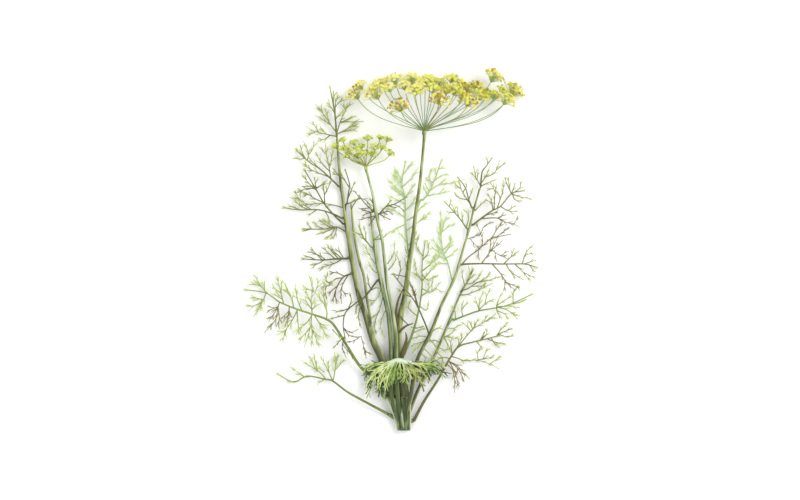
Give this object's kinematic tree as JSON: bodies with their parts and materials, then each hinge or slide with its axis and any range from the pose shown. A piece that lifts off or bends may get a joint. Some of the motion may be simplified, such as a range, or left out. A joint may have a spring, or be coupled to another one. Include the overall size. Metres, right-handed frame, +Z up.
{
  "type": "dill bunch",
  "caption": "Cut dill bunch lying flat: ridged stems from a shared foot, thread-fine branching leaves, a wide yellow umbel and a small lime umbel",
  "frame": {"origin": "centre of the bounding box, on the surface the bunch lies on", "axes": "+Y from the cut end to the large umbel, +Z up from the surface, +X to the right seen from above"},
  "size_m": [0.2873, 0.3579, 0.0817],
  "materials": {
    "crown": "matt, fibrous green",
    "stem": "satin, finely ridged olive green",
    "leaf": "soft, matt dark green",
    "leaf_pale": "soft, matt pale green",
    "tuft": "soft yellow-green",
    "small_umbel": "matt lime green",
    "umbel": "matt yellow flowers on green rays"
  },
  "bodies": {
    "root": {"crown": "crown", "leaf_back_left": "leaf_pale", "leaf_back_right": "leaf_pale", "leaf_inner": "leaf_pale", "leaf_inner_right": "leaf_pale", "leaf_left_a": "leaf", "leaf_left_b": "leaf", "leaf_left_big": "leaf", "leaf_left_c": "leaf", "leaf_left_curl": "leaf", "leaf_left_d": "leaf", "leaf_left_droop": "leaf", "leaf_left_e": "leaf", "leaf_left_fork": "leaf", "leaf_left_low": "leaf", "leaf_left_top": "leaf", "leaf_right_fan": "leaf", "leaf_right_fork": "leaf", "leaf_right_inner": "leaf_pale", "leaf_right_left": "leaf", "leaf_right_low": "leaf", "leaf_right_mid": "leaf", "leaf_right_side": "leaf", "leaf_right_tip": "leaf", "leaf_right_upper": "leaf", "leaf_shoot": "leaf", "leaf_small_left": "leaf", "leaf_small_right": "leaf", "leaf_tuft": "tuft", "stem_left": "stem", "stem_left_thin": "stem", "stem_main": "stem", "stem_middle": "stem", "stem_right": "stem", "stem_right_second": "stem", "stem_small_umbel": "stem", "umbel_small": "small_umbel", "umbellet_01": "umbel", "umbellet_02": "umbel", "umbellet_03": "umbel", "umbellet_04": "umbel", "umbellet_05": "umbel", "umbellet_06": "umbel", "umbellet_07": "umbel", "umbellet_08": "umbel", "umbellet_09": "umbel", "umbellet_10": "umbel", "umbellet_11": "umbel", "umbellet_12": "umbel", "umbellet_13": "umbel", "umbellet_14": "umbel", "umbellet_15": "umbel", "umbellet_16": "umbel", "umbellet_17": "umbel", "umbellet_18": "umbel", "umbellet_19": "umbel", "umbellet_20": "umbel"}
  },
  "joints": []
}
